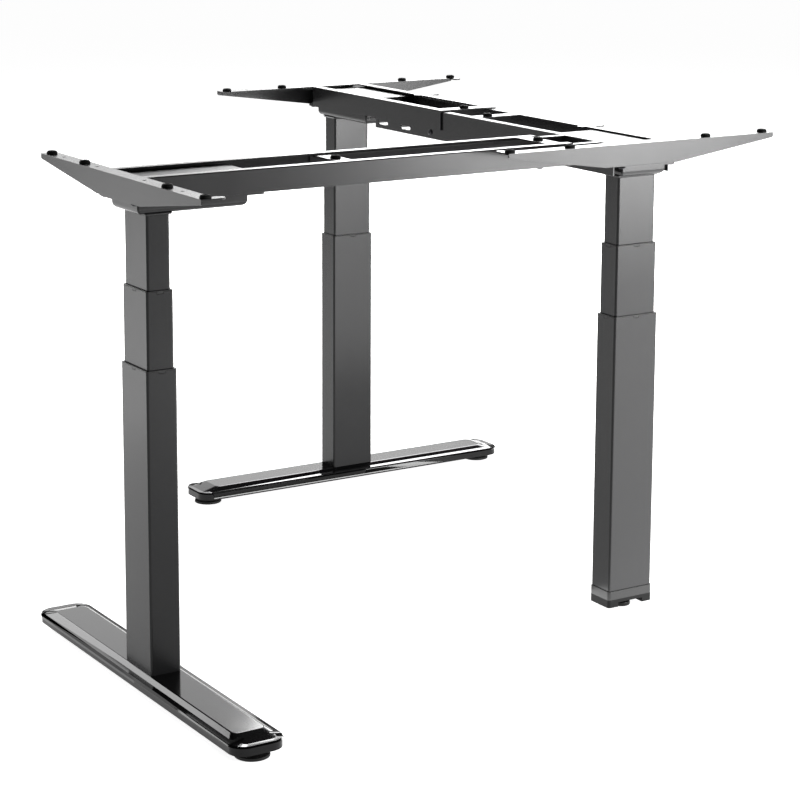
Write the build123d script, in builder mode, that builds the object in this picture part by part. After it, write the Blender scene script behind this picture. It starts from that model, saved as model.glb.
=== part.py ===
from build123d import *
import os
from collections import namedtuple

# Sit-stand desk frame for an L-shaped top: three telescopic legs A, B and C, with leg C in the
# corner. The X beam joins A to C and the Y beam joins C to B. Millimetres, +Z up, the floor at
# zero, and the origin under the middle of the frame's outline. Every leg has its own axes:
# "along" is its beam's direction away from the leg, and "across" lies along its side arm.

# --- plan ---
SPAN_X = 850            # from leg A to leg C along the X beam
SPAN_Y = 910            # from leg C to leg B along the Y beam
BEAM_STEP = 60          # the X beam runs this far behind the corner leg's axis
FOOT_LENGTH = 693
ARM_OUT = 54.5          # outer face of a side arm, from the leg's axis

CORNER_X = (SPAN_X + ARM_OUT + FOOT_LENGTH / 2) / 2 - FOOT_LENGTH / 2
CORNER_Y = (SPAN_Y + ARM_OUT - BEAM_STEP + FOOT_LENGTH / 2) / 2 - (SPAN_Y + ARM_OUT)

Leg = namedtuple("Leg", "name x y along across lug")
LEG_A = Leg("a", CORNER_X - SPAN_X, CORNER_Y + BEAM_STEP, Vector(1, 0, 0), Vector(0, 1, 0), -1)
LEG_B = Leg("b", CORNER_X, CORNER_Y + SPAN_Y, Vector(0, -1, 0), Vector(1, 0, 0), 1)
LEG_C = Leg("c", CORNER_X, CORNER_Y, Vector(0, 1, 0), Vector(-1, 0, 0), 1)
LEGS = (LEG_A, LEG_B, LEG_C)

# --- heights above the floor ---
FOOT_UNDER = 13.5
FOOT_SHOULDER = 26
FOOT_TOP = 35
OUTER_TOP = 506
MID_BOTTOM = 165
MID_TOP = 625
INNER_BOTTOM = 283
TRAY_BOTTOM = 740
PLATE_BOTTOM = 758
RAIL_BOTTOM = 761
RAIL_TOP = 797
COVER_TOP = 791
DEEP_BOTTOM = 742       # lower edge of the Y beam's inner channel

# --- telescopic tubes: depth along the beam, width across it ---
OUTER = (50, 88)
STEP = 6                # each stage is this much smaller, both ways
MID = (OUTER[0] - STEP, OUTER[1] - STEP)
INNER = (MID[0] - STEP, MID[1] - STEP)
OUTER_WALL = 1.8
MID_WALL = 1.6
TUBE_RADIUS = 3.5
LIP = 1.5               # plastic glide's lip on a tube's rim
SLIDE_GAP = 0.25
GLIDE_DEPTH = 70
NOTCH = (11, 3.5)       # clip notch in each side of a rim

# --- lift drive ---
BASE_PLATE = 6
SCREW_UPPER = 6.0       # radii from here on
SCREW_LOWER = 11.0
LOWER_BORE = 7.0
THREAD_GAP = 0.3
POST_BASE = 13.5
POST_MID = 16.5
POST_WALL = 1.6
BASE_POST_TOP = 440
MID_POST_TOP = 605
NUT_LENGTH = 24
UPPER_SCREW_BOTTOM = 340
LOWER_SCREW_BOTTOM = 150
WHEEL = (17, 750, 762)  # worm wheel: radius, bottom, top

# --- head ---
SHEET = 2.5
TRAY = (-36, 146)       # along the beam
TRAY_WIDTH = 89
PLATE = (-51, 168)
COVER = (-27, 157)
COVER_WIDTH = 108
BOX_WIDTH = 86
MOTOR_RADIUS = 20

# --- side arm ---
FLANGE = 26
ARM_LUG_END = 281       # arm's length on the side with the lug
ARM_PLAIN_END = 258
ARM_TIP = 8
ARM_FLAT = (-55, 90)    # flat underside, plain side and lug side
PAD_SPOTS = (-243, -122, 155, 271)
PAD_RADIUS = 8.5
PAD_HEIGHT = 5
SCREW_SPOTS = (-200, -80, 80, 200)
SCREW_HOLE = 3.0
BOLT = (3, 5.5, 2.5)    # radius, head radius, head height
SOCKET = (2.5, 1.6)     # radius and depth of the bolts' hexagon socket
BOLT_FIT = 0.2          # a bolt's hole is this much larger, on the radius
BOLT_SPOTS = (-50, 50)
BOLT_LINE = 12          # from the arm's outer face

# --- beams ---
HALF_BEAM = 60
LIP_WIDTH = 16
LOWER_LIP = 13
NEST = 0.4              # side gap between an outer and an inner rail
X_OUTER_END = -117      # ends of the rails, from the corner leg's axis
X_INNER_END = -541
Y_OUTER_END = 480
Y_INNER_END = 708
STRAP = 28
SIDE_SLOTS = (603, 681)   # in the deep channel's webs, from the corner leg
SIDE_SLOT_HEIGHT = 752.5
SIDE_LOCK = (518, 753.5)  # locking bolt in the deep channel's outer web
STRAP_BACK = 27         # strap's middle, back from the end of the X beam's outer rails
LOCK_X = SPAN_X + X_OUTER_END - 60
LOCK_SIDE = 52

# --- feet ---
FOOT_WIDTH = 84
FOOT_TOP_WIDTH = 52
FOOT_TOP_LENGTH = 617
FOOT_WALL = 3
FOOT_CORNER = 24        # corner radii in plan: of the sides, and of the narrower top
FOOT_TOP_CORNER = 9
LEVELLER_SPOT = 315
BOSS_RADIUS = 10
BOSS_TOP = 30.5         # just under the sloping end of the foot
DISC_RADIUS = 26
KNOB_RADIUS = 16
STEM_RADIUS = 4
CAP = (53, 91)
CAP_BOTTOM = 6.5


def flat(leg, height, along=0, across=0):
    """Level plane of a leg: X along its beam, Y across it."""
    spot = Vector(leg.x, leg.y, height) + leg.along * along + leg.across * across
    return Plane(origin=spot, x_dir=leg.along, z_dir=(0, 0, 1))


def upright(leg, along):
    """Upright plane square to a leg's beam: X across the beam, Y up, normal along it."""
    spot = Vector(leg.x, leg.y, 0) + leg.along * along
    return Plane(origin=spot, x_dir=leg.across, z_dir=leg.along)


def lengthwise(leg, across):
    """Upright plane in line with a leg's beam: X along the beam, Y up."""
    spot = Vector(leg.x, leg.y, 0) + leg.across * across
    return Plane(origin=spot, x_dir=leg.along, z_dir=leg.across * -1)


def leg_axis(leg):
    """Line through a leg that points along its beam."""
    return Axis(origin=(leg.x, leg.y, 0), direction=leg.along)


def save(piece, label):
    """Writes a finished piece under its name."""
    piece.part.label = label
    export_step(piece.part, f"parts/{label}.step")


def inside(size, wall):
    """Size of a rectangle drawn in by a wall on every side."""
    return (size[0] - 2 * wall, size[1] - 2 * wall)


def tube(leg, size, wall, bottom, top, notched):
    """One stage of a column, with a clip notch in the middle of each side of its rim."""
    with BuildPart() as stage:
        with BuildSketch(flat(leg, bottom)):
            RectangleRounded(*size, TUBE_RADIUS)
            RectangleRounded(*inside(size, wall), TUBE_RADIUS - wall, mode=Mode.SUBTRACT)
        extrude(amount=top - bottom)
        if notched:
            with BuildSketch(flat(leg, top)):
                Rectangle(size[0] + 2, NOTCH[0])
                Rectangle(NOTCH[0], size[1] + 2)
            extrude(amount=-NOTCH[1], mode=Mode.SUBTRACT)
    return stage


def glide(leg, size, wall, hole, rim):
    """Plastic glide: a sleeve in the gap, a lip on the rim and four clips in its notches."""
    with BuildPart() as guide:
        with BuildSketch(flat(leg, rim - GLIDE_DEPTH)):
            RectangleRounded(*inside(size, wall + 0.05), TUBE_RADIUS - wall)
            RectangleRounded(*hole, TUBE_RADIUS - 0.5, mode=Mode.SUBTRACT)
        extrude(amount=GLIDE_DEPTH)
        with BuildSketch(flat(leg, rim)):
            RectangleRounded(*size, TUBE_RADIUS)
            RectangleRounded(*hole, TUBE_RADIUS - 0.5, mode=Mode.SUBTRACT)
        extrude(amount=LIP)
        with BuildSketch(flat(leg, rim)):
            Rectangle(size[0], NOTCH[0] - 0.6)
            Rectangle(NOTCH[0] - 0.6, size[1])
            RectangleRounded(*hole, TUBE_RADIUS - 0.5, mode=Mode.SUBTRACT)
        extrude(amount=-(NOTCH[1] - 0.3))
    return guide


def ring(leg, bottom, top, outer, bore):
    """Round tube on a leg's axis, added to the part being built."""
    with BuildSketch(flat(leg, bottom)) as section:
        Circle(outer)
        Circle(bore, mode=Mode.SUBTRACT)
    extrude(section.sketch, amount=top - bottom)


def post(leg, plate, plate_hole, bottom, radius, top, nut_bore):
    """Plate with a hollow post, and the drive nut in the top of the post."""
    with BuildPart() as column:
        with BuildSketch(flat(leg, bottom)):
            RectangleRounded(*plate, TUBE_RADIUS - 1)
            Circle(plate_hole, mode=Mode.SUBTRACT)
        extrude(amount=BASE_PLATE)
        ring(leg, bottom, top, radius, radius - POST_WALL)
        ring(leg, top - NUT_LENGTH, top, radius, nut_bore)
    return column


def upper_screw(leg):
    """Screw that hangs in the inner tube, with the gearbox's worm wheel on its top."""
    with BuildPart() as screw:
        with BuildSketch(flat(leg, UPPER_SCREW_BOTTOM)):
            Circle(SCREW_UPPER)
        extrude(amount=WHEEL[2] - UPPER_SCREW_BOTTOM)
        with BuildSketch(flat(leg, WHEEL[1])):
            Circle(WHEEL[0])
        extrude(amount=WHEEL[2] - WHEEL[1])
        chamfer(screw.edges().group_by(Axis.Z)[0], 1.5)
    return screw


def lower_screw(leg):
    """Hollow screw held under the mid nut. The upper screw turns it and slides inside it."""
    with BuildPart() as screw:
        ring(leg, LOWER_SCREW_BOTTOM, MID_POST_TOP - NUT_LENGTH - 1, SCREW_LOWER, LOWER_BORE)
        chamfer(screw.edges().group_by(Axis.Z)[0], 1)
    return screw


def motor_tray(leg):
    """Pressed tray under the beam that carries the motor, with the plate that takes the rails."""
    plate_width = 2 * HALF_BEAM - (4 if leg is not LEG_C else 11.5)
    middle = (TRAY[0] + TRAY[1]) / 2
    with BuildPart() as tray:
        with BuildSketch(flat(leg, TRAY_BOTTOM, middle)):
            RectangleRounded(TRAY[1] - TRAY[0], TRAY_WIDTH, 2.5)
        extrude(amount=PLATE_BOTTOM - TRAY_BOTTOM + 1)
        fillet(tray.edges().group_by(Axis.Z)[0].sort_by(leg_axis(leg))[-1], 9)
        offset(amount=-2, openings=tray.faces().sort_by(Axis.Z)[-1])
        with BuildSketch(flat(leg, PLATE_BOTTOM, (PLATE[0] + PLATE[1]) / 2)):
            RectangleRounded(PLATE[1] - PLATE[0], plate_width, 5)
        extrude(amount=RAIL_BOTTOM - PLATE_BOTTOM)
        with BuildSketch(flat(leg, PLATE_BOTTOM, middle)):
            RectangleRounded(TRAY[1] - TRAY[0] - 4, TRAY_WIDTH - 4, 2)
        extrude(amount=RAIL_BOTTOM - PLATE_BOTTOM, mode=Mode.SUBTRACT)
        with BuildSketch(flat(leg, TRAY_BOTTOM)):
            RectangleRounded(INNER[0] + 0.4, INNER[1] + 0.4, TUBE_RADIUS)
        extrude(amount=2, mode=Mode.SUBTRACT)
        with BuildSketch(flat(leg, TRAY_BOTTOM)):
            RectangleRounded(INNER[0] + 8, INNER[1] + 8, TUBE_RADIUS)
            RectangleRounded(INNER[0] + 0.4, INNER[1] + 0.4, TUBE_RADIUS, mode=Mode.SUBTRACT)
        extrude(amount=-2.5, taper=40)
        with BuildSketch(flat(leg, PLATE_BOTTOM, BOLT_LINE - ARM_OUT)):
            with Locations(*[(0, spot) for spot in BOLT_SPOTS]):
                Circle(BOLT[0] + BOLT_FIT)
        extrude(amount=RAIL_BOTTOM - PLATE_BOTTOM, mode=Mode.SUBTRACT)
    return tray


def motor_cover(leg):
    """Folded cover over the motor, flush between the rails, with the motor lead's inlet."""
    length = COVER[1] - COVER[0]
    middle = (COVER[0] + COVER[1]) / 2
    inlet = 782
    with BuildPart() as cover:
        with BuildSketch(flat(leg, RAIL_BOTTOM, middle - 5)):
            RectangleRounded(length - 20, BOX_WIDTH, 3)
        extrude(amount=COVER_TOP - RAIL_BOTTOM)
        offset(amount=-1.5, openings=cover.faces().sort_by(Axis.Z)[0])
        with BuildSketch(flat(leg, COVER_TOP - SHEET, middle)):
            Rectangle(length, COVER_WIDTH)
        extrude(amount=SHEET)
        ends = cover.edges().filter_by(Axis.Z).group_by(leg_axis(leg))[-1]
        fillet(ends, 22)
        with BuildSketch(upright(leg, middle + length / 2 - 20)):
            with Locations((24, inlet - 6)):
                RectangleRounded(16, 10, 2)
        extrude(amount=20, mode=Mode.SUBTRACT)
    return cover


def gear_motor(leg):
    """Worm gearbox round the top of the screw, with the motor beside it along the beam."""
    case_bottom = TRAY_BOTTOM + 2
    axis_height = case_bottom + MOTOR_RADIUS + 1
    with BuildPart() as drive:
        with BuildSketch(flat(leg, case_bottom, 5)):
            RectangleRounded(48, 52, 4)
        extrude(amount=2 * MOTOR_RADIUS + 2)
        with BuildSketch(upright(leg, 20)):
            with Locations((0, axis_height)):
                Circle(MOTOR_RADIUS)
        extrude(amount=TRAY[1] - 32)
        with BuildSketch(upright(leg, TRAY[1] - 13)):
            with Locations((0, axis_height)):
                Circle(8)
        extrude(amount=5)
        with BuildSketch(flat(leg, WHEEL[1] - 1)):
            Circle(WHEEL[0] + 0.8)
        extrude(amount=WHEEL[2] - WHEEL[1] + 2, mode=Mode.SUBTRACT)
        with BuildSketch(flat(leg, case_bottom)):
            Circle(SCREW_UPPER + 0.5)
        extrude(amount=WHEEL[1] - case_bottom, mode=Mode.SUBTRACT)
    return drive


def side_arm(leg):
    """Folded arm: a tapered upright web, a flange on top with screw holes, a lip under the flat."""
    side = leg.lug
    tip = RAIL_TOP - ARM_TIP
    with BuildPart() as arm:
        with BuildSketch(upright(leg, -ARM_OUT)):
            with BuildLine():
                Polyline(
                    (-side * ARM_PLAIN_END, RAIL_TOP),
                    (side * ARM_LUG_END, RAIL_TOP),
                    (side * ARM_LUG_END, tip),
                    (side * ARM_FLAT[1], RAIL_BOTTOM),
                    (side * ARM_FLAT[0], RAIL_BOTTOM),
                    (-side * ARM_PLAIN_END, tip),
                    close=True,
                )
            make_face()
        extrude(amount=SHEET)
        flange_middle = side * (ARM_LUG_END - ARM_PLAIN_END) / 2
        with BuildSketch(flat(leg, RAIL_TOP - SHEET, FLANGE / 2 - ARM_OUT, flange_middle)):
            Rectangle(FLANGE, ARM_LUG_END + ARM_PLAIN_END)
        extrude(amount=SHEET)
        lip_middle = side * (ARM_FLAT[0] + ARM_FLAT[1]) / 2
        with BuildSketch(flat(leg, RAIL_BOTTOM, FLANGE / 2 - ARM_OUT, lip_middle)):
            Rectangle(FLANGE, ARM_FLAT[1] - ARM_FLAT[0])
        extrude(amount=SHEET)
        with BuildSketch(flat(leg, RAIL_TOP - SHEET, FLANGE - ARM_OUT + 3, side * (ARM_LUG_END - 9))):
            SlotOverall(24, 16)
        extrude(amount=SHEET)
        with BuildSketch(flat(leg, RAIL_TOP, FLANGE / 2 - ARM_OUT)):
            with Locations(*[(0, side * spot) for spot in SCREW_SPOTS]):
                Circle(SCREW_HOLE)
        extrude(amount=-SHEET, mode=Mode.SUBTRACT)
        with BuildSketch(flat(leg, RAIL_BOTTOM, BOLT_LINE - ARM_OUT)):
            with Locations(*[(0, spot) for spot in BOLT_SPOTS]):
                Circle(BOLT[0] + BOLT_FIT)
        extrude(amount=SHEET, mode=Mode.SUBTRACT)
        tips = arm.edges().filter_by(leg_axis(leg)).filter_by_position(
            Axis.Z, RAIL_TOP - ARM_TIP - 1, RAIL_TOP - ARM_TIP + 1)
        fillet(tips, 3)
    return arm


def pad(leg, along, across, height):
    """Round rubber pad, added to the part being built."""
    with BuildSketch(flat(leg, height, along, across)) as outline:
        Circle(PAD_RADIUS)
    extrude(outline.sketch, amount=PAD_HEIGHT)


def rails(half, low, high, top_lip, bottom_lip):
    """Sections of a pair of rails, drawn in the sketch being built."""
    for side in (-1, 1):
        with Locations((side * (half - SHEET / 2), (low + high) / 2)):
            Rectangle(SHEET, high - low)
        with Locations((side * (half - top_lip / 2), high - SHEET / 2)):
            Rectangle(top_lip, SHEET)
        if bottom_lip:
            with Locations((side * (half - bottom_lip / 2), low + SHEET / 2)):
                Rectangle(bottom_lip, SHEET)


def strap(leg, along, half, top):
    """Flat cross strap between a pair of rails, added to the part being built."""
    with BuildSketch(flat(leg, top - SHEET, along)) as outline:
        Rectangle(STRAP, 2 * half - 1)
    extrude(outline.sketch, amount=SHEET)


def x_outer_frame():
    """Outer half of the X beam: two channels, a strap near their free end, two lock holes."""
    start = FLANGE - ARM_OUT
    length = SPAN_X + X_OUTER_END - start
    with BuildPart() as frame:
        with BuildSketch(upright(LEG_A, start)):
            rails(HALF_BEAM, RAIL_BOTTOM, RAIL_TOP, LIP_WIDTH, LOWER_LIP)
        extrude(amount=length)
        with BuildSketch(flat(LEG_A, RAIL_BOTTOM, LOCK_X)):
            with Locations((0, -LOCK_SIDE), (0, LOCK_SIDE)):
                Circle(BOLT[0] + BOLT_FIT)
        extrude(amount=SHEET, mode=Mode.SUBTRACT)
        strap(LEG_A, SPAN_X + X_OUTER_END - STRAP_BACK, HALF_BEAM, RAIL_TOP)
    return frame


def x_inner_frame():
    """Inner half of the X beam, welded to the side of the Y beam's inner channel."""
    half = HALF_BEAM - SHEET - NEST
    start = SPAN_X + X_INNER_END
    with BuildPart() as frame:
        with BuildSketch(upright(LEG_A, start)):
            rails(half, RAIL_BOTTOM + SHEET + NEST, RAIL_TOP - SHEET - NEST, 14, 14)
        extrude(amount=SPAN_X - half - start)
        strap(LEG_A, start + STRAP / 2, half, RAIL_TOP - SHEET - NEST)
    return frame


def ear(leg, along, across_side, half, top):
    """Flat ear with a round end that stands out of a rail, with a screw hole."""
    reach = 33
    with BuildSketch(flat(leg, top - SHEET, along, across_side * half)) as outline:
        with Locations((0, across_side * (reach / 2 - 10))):
            SlotOverall(reach + 20, 20, rotation=90)
        with Locations((0, across_side * (reach - 12))):
            Circle(SCREW_HOLE, mode=Mode.SUBTRACT)
    extrude(outline.sketch, amount=SHEET)


def y_outer_frame():
    """Outer half of the Y beam: two rails, an end strap with slots, and one ear."""
    start = FLANGE - ARM_OUT
    finish = SPAN_Y - Y_OUTER_END
    with BuildPart() as frame:
        with BuildSketch(upright(LEG_B, start)):
            rails(HALF_BEAM, RAIL_BOTTOM, RAIL_TOP, LIP_WIDTH, 0)
        extrude(amount=finish - start)
        strap(LEG_B, finish - STRAP / 2, HALF_BEAM, RAIL_TOP)
        ear(LEG_B, SPAN_Y - 718, 1, HALF_BEAM - 4, RAIL_TOP)
        with BuildSketch(flat(LEG_B, RAIL_TOP, finish - STRAP / 2)):
            with Locations((0, -36), (0, 36)):
                SlotOverall(14, 5, rotation=90)
        extrude(amount=-SHEET, mode=Mode.SUBTRACT)
    return frame


def y_inner_frame():
    """Inner half of the Y beam: deep slotted webs that reach below the outer rails."""
    half = HALF_BEAM - SHEET - NEST
    start = FLANGE - ARM_OUT
    top = RAIL_TOP - SHEET - NEST
    with BuildPart() as frame:
        with BuildSketch(upright(LEG_C, start)):
            rails(half, DEEP_BOTTOM, top, 14, 0)
        extrude(amount=Y_INNER_END - start)
        with BuildSketch(upright(LEG_C, PLATE[1] + 12)):
            rails(half, DEEP_BOTTOM, top, 14, 14)
        extrude(amount=Y_INNER_END - PLATE[1] - 12)
        strap(LEG_C, 392, half, top)
        strap(LEG_C, Y_INNER_END - STRAP / 2, half, DEEP_BOTTOM + SHEET)
        ear(LEG_C, 190, -1, half - 4, top)
        with BuildSketch(lengthwise(LEG_C, half + 1)):
            with Locations(*[(spot, SIDE_SLOT_HEIGHT) for spot in SIDE_SLOTS]):
                SlotOverall(34, 7)
        extrude(amount=2 * half + 2, mode=Mode.SUBTRACT)
        with BuildSketch(lengthwise(LEG_C, half + 1)):
            with Locations(SIDE_LOCK):
                Circle(BOLT[0] + BOLT_FIT)
        extrude(amount=SHEET + 2, mode=Mode.SUBTRACT)
    return frame


def bolt(plane, shank_length):
    """Socket-head bolt pointing up from its head, added to the part being built."""
    with BuildSketch(plane.offset(-BOLT[2])) as head:
        Circle(BOLT[1])
    extrude(head.sketch, amount=BOLT[2])
    with BuildSketch(plane.offset(-BOLT[2])) as socket:
        RegularPolygon(SOCKET[0], 6)
    extrude(socket.sketch, amount=SOCKET[1], mode=Mode.SUBTRACT)
    with BuildSketch(plane) as stem:
        Circle(BOLT[0])
    extrude(stem.sketch, amount=shank_length)


def foot(leg):
    """Pressed steel foot: low sides, bevelled shoulders, rounded ends, open underneath."""
    size = (FOOT_WIDTH, FOOT_LENGTH)
    crown = (FOOT_TOP_WIDTH, FOOT_TOP_LENGTH)
    with BuildPart() as bar:
        with BuildSketch(flat(leg, FOOT_UNDER)):
            RectangleRounded(*size, FOOT_CORNER)
        extrude(amount=FOOT_SHOULDER - FOOT_UNDER)
        with BuildSketch(flat(leg, FOOT_SHOULDER)):
            RectangleRounded(*size, FOOT_CORNER)
        with BuildSketch(flat(leg, FOOT_TOP)):
            RectangleRounded(*crown, FOOT_TOP_CORNER)
        loft()
        with BuildSketch(flat(leg, FOOT_UNDER)):
            RectangleRounded(*inside(size, FOOT_WALL), FOOT_CORNER - FOOT_WALL)
        extrude(amount=FOOT_SHOULDER - FOOT_UNDER, mode=Mode.SUBTRACT)
        with BuildSketch(flat(leg, FOOT_SHOULDER)):
            RectangleRounded(*inside(size, FOOT_WALL), FOOT_CORNER - FOOT_WALL)
        with BuildSketch(flat(leg, FOOT_TOP - FOOT_WALL)):
            RectangleRounded(*inside(crown, FOOT_WALL), FOOT_TOP_CORNER - FOOT_WALL)
        loft(mode=Mode.SUBTRACT)
        for end in (-1, 1):
            with BuildSketch(flat(leg, FOOT_UNDER, 0, end * LEVELLER_SPOT)):
                Circle(BOSS_RADIUS)
                Circle(STEM_RADIUS + THREAD_GAP, mode=Mode.SUBTRACT)
            extrude(amount=BOSS_TOP - FOOT_UNDER)
    return bar


def leveller(leg, across, radius, thick, stem_top, knurls):
    """Screw-in leveller: a disc with a gripping edge, and its threaded stem."""
    with BuildPart() as disc:
        with BuildSketch(flat(leg, 0, 0, across)):
            Circle(radius)
            with PolarLocations(radius, knurls):
                Circle(0.9, mode=Mode.SUBTRACT)
        extrude(amount=thick)
        chamfer(disc.faces().sort_by(Axis.Z)[0].edges(), 0.4)
        with BuildSketch(flat(leg, thick, 0, across)):
            Circle(STEM_RADIUS)
        extrude(amount=stem_top - thick)
    return disc


def base_cap():
    """Moulded cap under the corner leg, with a notch at the front to reach the leveller."""
    with BuildPart() as cap:
        with BuildSketch(flat(LEG_C, CAP_BOTTOM)):
            RectangleRounded(*CAP, 5)
        extrude(amount=FOOT_TOP - CAP_BOTTOM)
        with BuildSketch(flat(LEG_C, CAP_BOTTOM)):
            Circle(KNOB_RADIUS + 2)
        extrude(amount=8, mode=Mode.SUBTRACT)
        with BuildSketch(flat(LEG_C, CAP_BOTTOM, -CAP[0] / 2)):
            Rectangle(CAP[0], 50)
        extrude(amount=7.5, mode=Mode.SUBTRACT)
        with BuildSketch(flat(LEG_C, CAP_BOTTOM)):
            Circle(STEM_RADIUS + THREAD_GAP)
        extrude(amount=FOOT_TOP - CAP_BOTTOM, mode=Mode.SUBTRACT)
    return cap


def leg_pieces(leg):
    """The pieces that every leg has."""
    n = leg.name
    outer_rim = OUTER_TOP - LIP
    mid_rim = MID_TOP - LIP
    mid_hole = (MID[0] + 2 * SLIDE_GAP, MID[1] + 2 * SLIDE_GAP)
    inner_hole = (INNER[0] + 2 * SLIDE_GAP, INNER[1] + 2 * SLIDE_GAP)
    outer_room = inside(OUTER, OUTER_WALL + 0.1)
    mid_room = inside(MID, MID_WALL + 0.1)
    save(tube(leg, OUTER, OUTER_WALL, FOOT_TOP, outer_rim, True), f"outer_tube_{n}")
    save(tube(leg, MID, MID_WALL, MID_BOTTOM, mid_rim, True), f"mid_tube_{n}")
    save(tube(leg, INNER, MID_WALL, INNER_BOTTOM, TRAY_BOTTOM + 2, False), f"inner_tube_{n}")
    save(glide(leg, OUTER, OUTER_WALL, mid_hole, outer_rim), f"outer_glide_{n}")
    save(glide(leg, MID, MID_WALL, inner_hole, mid_rim), f"mid_glide_{n}")
    base_nut = post(leg, outer_room, STEM_RADIUS + 2, FOOT_TOP, POST_BASE, BASE_POST_TOP,
                    SCREW_LOWER + THREAD_GAP)
    save(base_nut, f"base_nut_post_{n}")
    mid_nut = post(leg, mid_room, POST_BASE + 1, MID_BOTTOM, POST_MID, MID_POST_TOP,
                   SCREW_UPPER + THREAD_GAP)
    save(mid_nut, f"mid_nut_post_{n}")
    save(upper_screw(leg), f"upper_screw_{n}")
    save(lower_screw(leg), f"lower_screw_{n}")
    save(motor_tray(leg), f"motor_tray_{n}")
    save(motor_cover(leg), f"motor_cover_{n}")
    save(gear_motor(leg), f"gear_motor_{n}")
    save(side_arm(leg), f"side_arm_{n}")


def pads(leg, strap_spots):
    """Rubber pads on one arm, and on the straps that go with it."""
    with BuildPart() as rubber:
        for spot in PAD_SPOTS:
            pad(leg, FLANGE / 2 - ARM_OUT - 1, leg.lug * spot, RAIL_TOP)
        for owner, along, across, height in strap_spots:
            pad(owner, along, across, height)
        fillet(rubber.edges().filter_by(GeomType.CIRCLE).filter_by_position(
            Axis.Z, RAIL_TOP + PAD_HEIGHT - SHEET - 1, RAIL_TOP + PAD_HEIGHT + 1), 1.5)
    return rubber


def bolts(leg, locks):
    """Bolts that hold the arm on the plate, and the locking bolts under a beam's end."""
    with BuildPart() as screws:
        for spot in BOLT_SPOTS:
            bolt(flat(leg, PLATE_BOTTOM, BOLT_LINE - ARM_OUT, spot), 8)
        for plane in locks:
            bolt(plane, SHEET)
    return screws


os.makedirs("parts", exist_ok=True)

for leg in LEGS:
    leg_pieces(leg)

for leg in (LEG_A, LEG_B):
    save(foot(leg), f"foot_{leg.name}")
    for end, where in ((-1, "1"), (1, "2")):
        disc = leveller(leg, end * LEVELLER_SPOT, DISC_RADIUS, 5, 25, 40)
        save(disc, f"leveller_{leg.name}{where}")
save(base_cap(), "base_cap_c")
save(leveller(LEG_C, 0, KNOB_RADIUS, 7, 30, 28), "leveller_c")

save(x_outer_frame(), "x_beam_outer")
save(x_inner_frame(), "x_beam_inner")
save(y_outer_frame(), "y_beam_outer")
save(y_inner_frame(), "y_beam_inner")

INNER_TOP = RAIL_TOP - SHEET - NEST
save(pads(LEG_A, [(LEG_A, SPAN_X + X_OUTER_END - STRAP_BACK, 0, RAIL_TOP)]), "pads_a")
save(pads(LEG_B, [(LEG_B, SPAN_Y - Y_OUTER_END - STRAP / 2, 0, RAIL_TOP)]), "pads_b")
corner_spots = [(LEG_A, SPAN_X + X_INNER_END + STRAP / 2, 0, INNER_TOP), (LEG_C, 392, 18, INNER_TOP)]
save(pads(LEG_C, corner_spots), "pads_c")

x_locks = [flat(LEG_A, RAIL_BOTTOM, LOCK_X, side * LOCK_SIDE) for side in (-1, 1)]
save(bolts(LEG_A, x_locks), "bolts_a")
save(bolts(LEG_B, []), "bolts_b")
side_lock = Plane(
    origin=(LEG_C.x - HALF_BEAM + SHEET + NEST, LEG_C.y + SIDE_LOCK[0], SIDE_LOCK[1]),
    z_dir=(1, 0, 0),
)
save(bolts(LEG_C, [side_lock]), "bolts_c")
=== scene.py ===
import math

import bmesh
import bpy
from mathutils import Matrix, Vector


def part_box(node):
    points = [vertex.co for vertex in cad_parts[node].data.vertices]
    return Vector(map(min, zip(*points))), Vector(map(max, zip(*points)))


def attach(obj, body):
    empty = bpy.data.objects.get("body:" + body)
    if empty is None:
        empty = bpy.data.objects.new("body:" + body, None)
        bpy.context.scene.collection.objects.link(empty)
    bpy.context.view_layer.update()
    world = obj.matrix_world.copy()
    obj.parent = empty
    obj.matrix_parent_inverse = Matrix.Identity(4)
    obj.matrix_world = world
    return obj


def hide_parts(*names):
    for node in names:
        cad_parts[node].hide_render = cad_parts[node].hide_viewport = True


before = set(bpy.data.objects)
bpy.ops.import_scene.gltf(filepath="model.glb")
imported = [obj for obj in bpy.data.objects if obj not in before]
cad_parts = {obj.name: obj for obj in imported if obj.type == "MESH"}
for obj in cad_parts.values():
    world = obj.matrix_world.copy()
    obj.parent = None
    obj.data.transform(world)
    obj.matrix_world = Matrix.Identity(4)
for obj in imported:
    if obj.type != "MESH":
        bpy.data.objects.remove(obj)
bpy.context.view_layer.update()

bl_info = {
    "name": "Corner Desk Frame",
    "version": (1, 0, 0),
    "blender": (4, 5, 0),
    "location": "3D Viewport > Sidebar > Desk Frame",
    "description": "Finishes a three-legged sit-stand desk frame: coats, feet, pads and fittings",
    "category": "Object",
}

LEGS = "abc"
FOOTED_LEGS = "ab"
FOOT_SCREWS = ("a1", "a2", "b1", "b2")
HEADS = {"a": "a_end", "b": "b_end", "c": "corner"}
BEAM_HALVES = {
    "x_beam_outer": "a_end",
    "x_beam_inner": "corner",
    "y_beam_inner": "corner",
    "y_beam_outer": "b_end",
}

MM = 0.001
SAME_SPOT = 1e-6                    # points closer than this are one point
NO_TURN = math.radians(0.6)         # faces that turn less than this are one flat face
CRISP = math.radians(35)            # edges that turn more than this get softened

# Each coat is a finish and a slot name.
SATIN = ("Satin black coat", "black_steel")
MATT = ("Matt black coat", "black_steel")
GLOSS = ("Gloss black coat", "gloss_foot")
PLASTIC = ("Black plastic", "black_plastic")
RUBBER = ("Black rubber", "black_rubber")
OXIDE = ("Black oxide", "black_bolt")
ZINC = ("Zinc plate", "zinc_steel")
CAST = ("Cast motor housing", "motor_metal")


# ---------------------------------------------------------------- sizes and colours


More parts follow.
